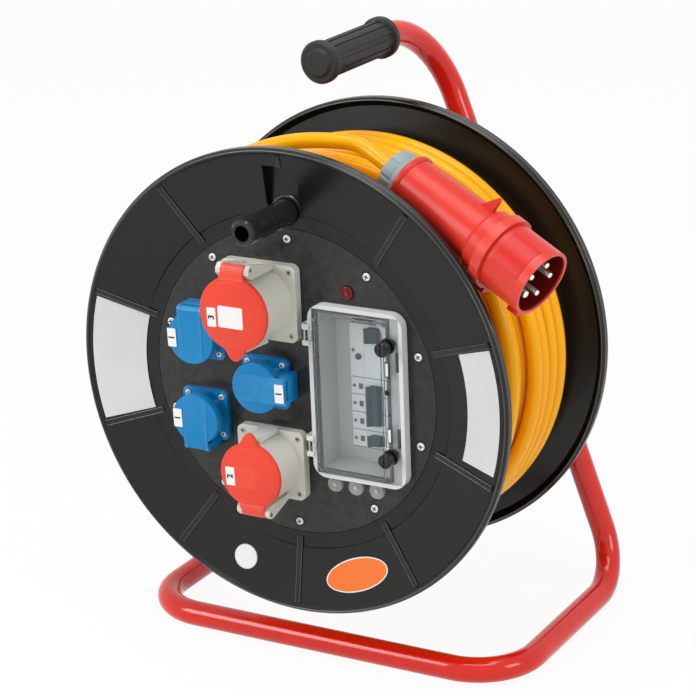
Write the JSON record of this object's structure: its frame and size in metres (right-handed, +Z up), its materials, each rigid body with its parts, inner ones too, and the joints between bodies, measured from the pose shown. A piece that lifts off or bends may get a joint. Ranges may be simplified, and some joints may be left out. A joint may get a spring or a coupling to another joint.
{
  "type": "extension cable reel",
  "caption": "Extension cable reel: a hand-cranked drum with a socket panel in its front turns on a bent tube stand, its plug parked on the wound cable.",
  "frame": {"origin": "on the floor, in the middle of the stand and drum", "axes": "+X to the right seen from the sockets, +Y away from the sockets along the drum's axle, +Z up"},
  "size_m": [0.4959, 0.382, 0.6043],
  "materials": {
    "stand_red": "gloss",
    "steel": "satin",
    "grip_black": "matte",
    "drum_black": "satin",
    "nylon": "satin",
    "cable_yellow": "satin",
    "plug_red": "satin",
    "nut_grey": "satin",
    "insert_dark": "matte",
    "brass": "polished",
    "socket_grey": "satin",
    "lid_red": "gloss",
    "outlet_blue": "satin",
    "cover_clear": "clear",
    "lamp_red": "gloss",
    "lamp_clear": "clear",
    "device_grey": "satin",
    "toggle_dark": "satin",
    "screw_black": "satin",
    "seal_dark": "matte"
  },
  "bodies": {
    "stand": {"base_tube": "stand_red", "right_leg_tube": "stand_red", "left_leg_tube": "stand_red", "axle": "steel", "axle_pin": "steel", "axle_washer": "steel", "axle_spacer": "steel", "handle_grip": "grip_black"},
    "drum": {"front_flange": "drum_black", "rear_flange": "drum_black", "drum_barrel": "drum_black", "hub_sleeve": "steel", "hub_bushes": "nylon", "hub_bolt_heads": "steel", "front_panel": "drum_black", "large_socket_body": "socket_grey", "large_socket_insert": "insert_dark", "small_socket_body": "socket_grey", "small_socket_insert": "insert_dark", "socket_lid_pins": "steel", "outlet_left_top_body": "outlet_blue", "outlet_left_top_insert": "outlet_blue", "outlet_left_bottom_body": "outlet_blue", "outlet_left_bottom_insert": "outlet_blue", "outlet_middle_body": "outlet_blue", "outlet_middle_insert": "outlet_blue", "outlet_lid_pins": "steel", "breaker_box": "socket_grey", "cover_seal": "seal_dark", "cover_hinge_pins": "steel", "residual_switch": "device_grey", "triple_breaker": "device_grey", "single_breaker": "device_grey", "din_rail": "steel", "warning_lamp": "lamp_red", "phase_lamps": "lamp_clear", "terminal_block": "nylon", "thermal_cutout": "nylon", "knob_bolt": "steel", "cable_winding": "cable_yellow", "cable_core": "cable_yellow", "cable_gland": "nut_grey", "plug_body": "plug_red", "plug_gland_nut": "nut_grey", "plug_insert": "insert_dark", "plug_pins": "brass"},
    "knob": {"crank_knob": "grip_black"},
    "large_lid": {"large_socket_lid": "lid_red"},
    "small_lid": {"small_socket_lid": "lid_red"},
    "left_top_lid": {"outlet_left_top_lid": "outlet_blue"},
    "left_bottom_lid": {"outlet_left_bottom_lid": "outlet_blue"},
    "middle_lid": {"outlet_middle_lid": "outlet_blue"},
    "cover": {"window_cover": "cover_clear"},
    "upper_screw": {"cover_screw_upper": "screw_black"},
    "lower_screw": {"cover_screw_lower": "screw_black"},
    "switch_lever": {"residual_switch_lever": "toggle_dark"},
    "triple_lever": {"triple_breaker_lever": "toggle_dark"},
    "single_lever": {"single_breaker_lever": "toggle_dark"},
    "button": {"test_button": "toggle_dark"}
  },
  "joints": [
    {"name": "drum_turn", "type": "hinge", "parent": "stand", "child": "drum", "pos_m": [0, -0.0135, 0.2919], "axis": [0, -1, 0], "range_deg": [-85, 200]},
    {"name": "knob_spin", "type": "hinge", "parent": "drum", "child": "knob", "pos_m": [0, -0.1515, 0.4589], "axis": [0, -1, 0], "continuous": true},
    {"name": "large_lid_open", "type": "hinge", "parent": "drum", "child": "large_lid", "pos_m": [-0.0285, -0.1625, 0.4151], "axis": [-1, 0, 0], "range_deg": [0, 110], "stiffness_Nm_per_rad": 0.05, "springref_deg": -28.65},
    {"name": "small_lid_open", "type": "hinge", "parent": "drum", "child": "small_lid", "pos_m": [-0.0235, -0.1555, 0.1719], "axis": [1, 0, 0], "range_deg": [0, 110], "stiffness_Nm_per_rad": 0.04, "springref_deg": -28.65},
    {"name": "left_top_lid_open", "type": "hinge", "parent": "drum", "child": "left_top_lid", "pos_m": [-0.0975, -0.1345, 0.3581], "axis": [-1, 0, 0], "range_deg": [0, 110], "stiffness_Nm_per_rad": 0.03, "springref_deg": -28.65},
    {"name": "left_bottom_lid_open", "type": "hinge", "parent": "drum", "child": "left_bottom_lid", "pos_m": [-0.0975, -0.1345, 0.2205], "axis": [1, 0, 0], "range_deg": [0, 110], "stiffness_Nm_per_rad": 0.03, "springref_deg": -28.65},
    {"name": "middle_lid_open", "type": "hinge", "parent": "drum", "child": "middle_lid", "pos_m": [0, -0.1345, 0.2903], "axis": [0, 0, 1], "range_deg": [0, 90], "stiffness_Nm_per_rad": 0.03, "springref_deg": -28.65},
    {"name": "cover_open", "type": "hinge", "parent": "drum", "child": "cover", "pos_m": [0.0205, -0.1225, 0.2909], "axis": [0, 0, -1], "range_deg": [0, 95]},
    {"name": "upper_screw_turn", "type": "hinge", "parent": "cover", "child": "upper_screw", "pos_m": [0.1095, -0.1365, 0.3469], "axis": [0, -1, 0], "range_deg": [0, 90]},
    {"name": "lower_screw_turn", "type": "hinge", "parent": "cover", "child": "lower_screw", "pos_m": [0.1095, -0.1365, 0.2383], "axis": [0, -1, 0], "range_deg": [0, 90]},
    {"name": "switch_lever_flip", "type": "hinge", "parent": "drum", "child": "switch_lever", "pos_m": [0.0775, -0.0915, 0.3429], "axis": [0, 0, 1], "range_deg": [0, 84]},
    {"name": "triple_lever_flip", "type": "hinge", "parent": "drum", "child": "triple_lever", "pos_m": [0.0775, -0.0915, 0.27315], "axis": [0, 0, 1], "range_deg": [0, 84]},
    {"name": "single_lever_flip", "type": "hinge", "parent": "drum", "child": "single_lever", "pos_m": [0.0775, -0.0915, 0.2383], "axis": [0, 0, 1], "range_deg": [0, 84]},
    {"name": "test_button_press", "type": "slide", "parent": "drum", "child": "button", "axis": [0, 1, 0], "range_m": [0, 0.0015], "stiffness_N_per_m": 400, "springref_m": -0.001}
  ]
}
